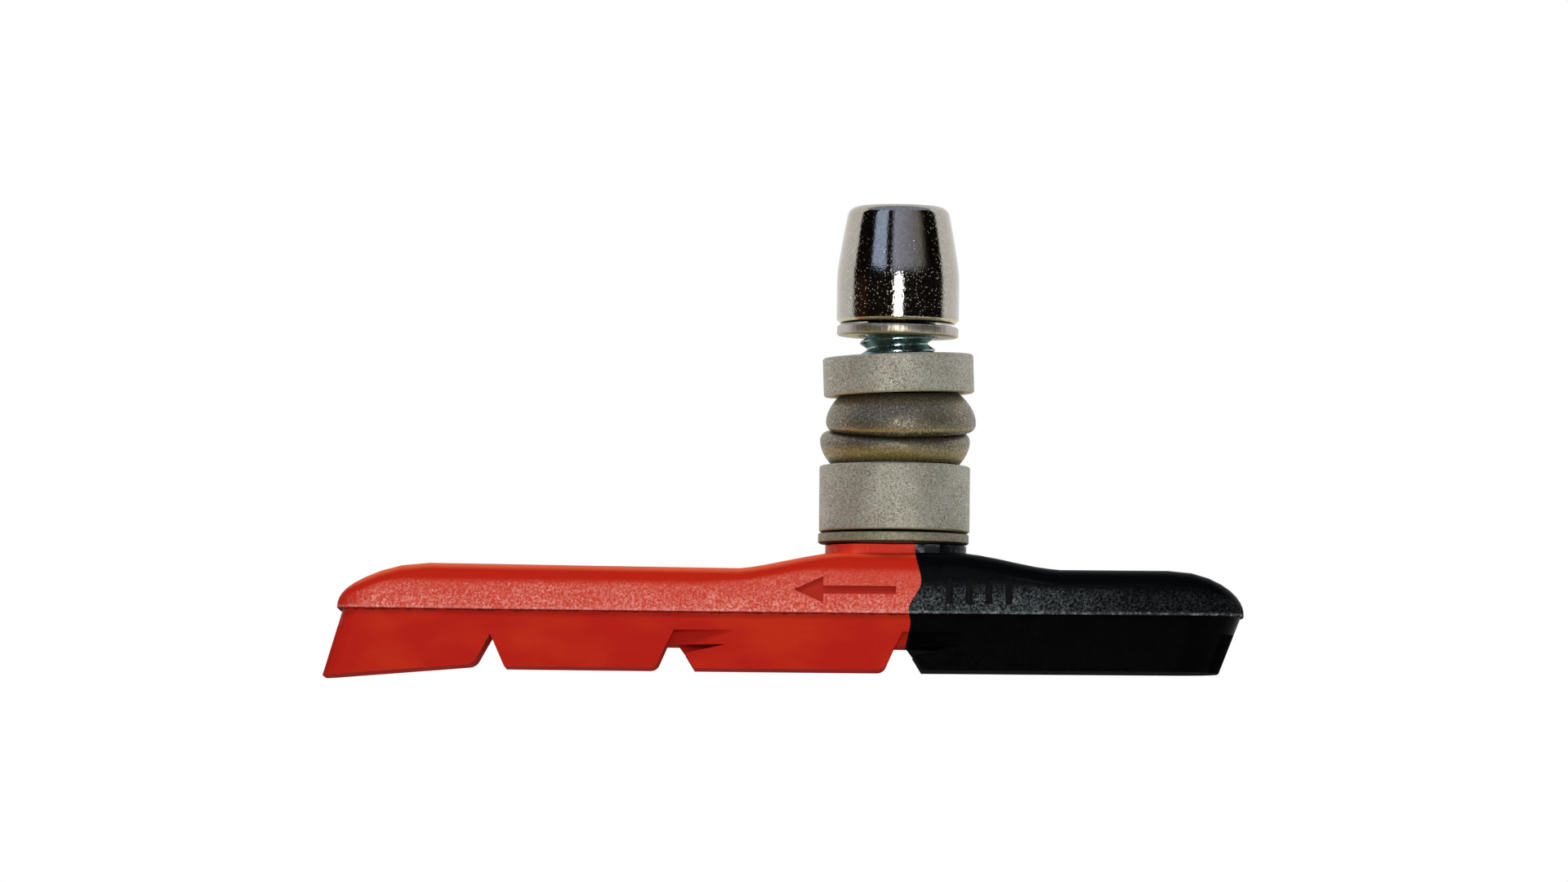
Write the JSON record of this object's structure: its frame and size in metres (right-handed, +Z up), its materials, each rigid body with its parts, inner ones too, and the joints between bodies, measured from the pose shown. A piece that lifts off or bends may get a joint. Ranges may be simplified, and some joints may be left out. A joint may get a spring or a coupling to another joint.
{
  "type": "bicycle rim brake pad",
  "caption": "Long curved rim brake pad in red and black rubber on a threaded post, with domed and cupped washers, a flat washer and a tapered sleeve nut.",
  "frame": {"origin": "where the post's axis meets the plane of the braking face", "axes": "+Z up the post, away from the rim; +X along the pad to its rear end; -Y the hollow side of the pad's curve"},
  "size_m": [0.0722, 0.0138, 0.0377],
  "materials": {
    "red_rubber": "moulded, fine spark-eroded grain on the upper flanks",
    "black_rubber": "moulded, fine spark-eroded grain on the upper flanks",
    "plate_steel": "cold-rolled, as stamped",
    "zinc_steel": "bright zinc plated, rolled thread",
    "flat_washer_steel": "tumbled",
    "cup_steel": "bead blasted",
    "dome_steel": "satin, slightly yellowed",
    "washer_zinc": "bright zinc plated",
    "nut_chrome": "polished plating with fine pits"
  },
  "bodies": {
    "pad_and_post": {"pad_front_compound": "red_rubber", "pad_rear_compound": "black_rubber", "backing_plate": "plate_steel", "threaded_stud": "zinc_steel", "base_washer": "flat_washer_steel", "lower_cup_washer": "cup_steel"},
    "swivel_washers": {"lower_dome_washer": "dome_steel", "upper_dome_washer": "dome_steel", "upper_cup_washer": "cup_steel"},
    "hung_washer": {"nut_washer": "washer_zinc"},
    "nut": {"cap_nut": "nut_chrome"}
  },
  "joints": [
    {"name": "washer_swivel", "type": "hinge", "parent": "pad_and_post", "child": "swivel_washers", "pos_m": [-0.00013, 0, 0.02118], "axis": [0, 1, 0], "range_deg": [-4, 4]},
    {"name": "nut_travel", "type": "slide", "parent": "pad_and_post", "child": "hung_washer", "axis": [0, 0, 1], "range_m": [-0.00075, 0.003]},
    {"name": "nut_turn", "type": "hinge", "parent": "hung_washer", "child": "nut", "pos_m": [0, 0, 0.0275], "axis": [0, 0, 1], "range_deg": [-272, 1082]}
  ],
  "couplings": [
    {"joint": "nut_turn", "follows": "nut_travel", "rad_per_m": 6283.2}
  ]
}
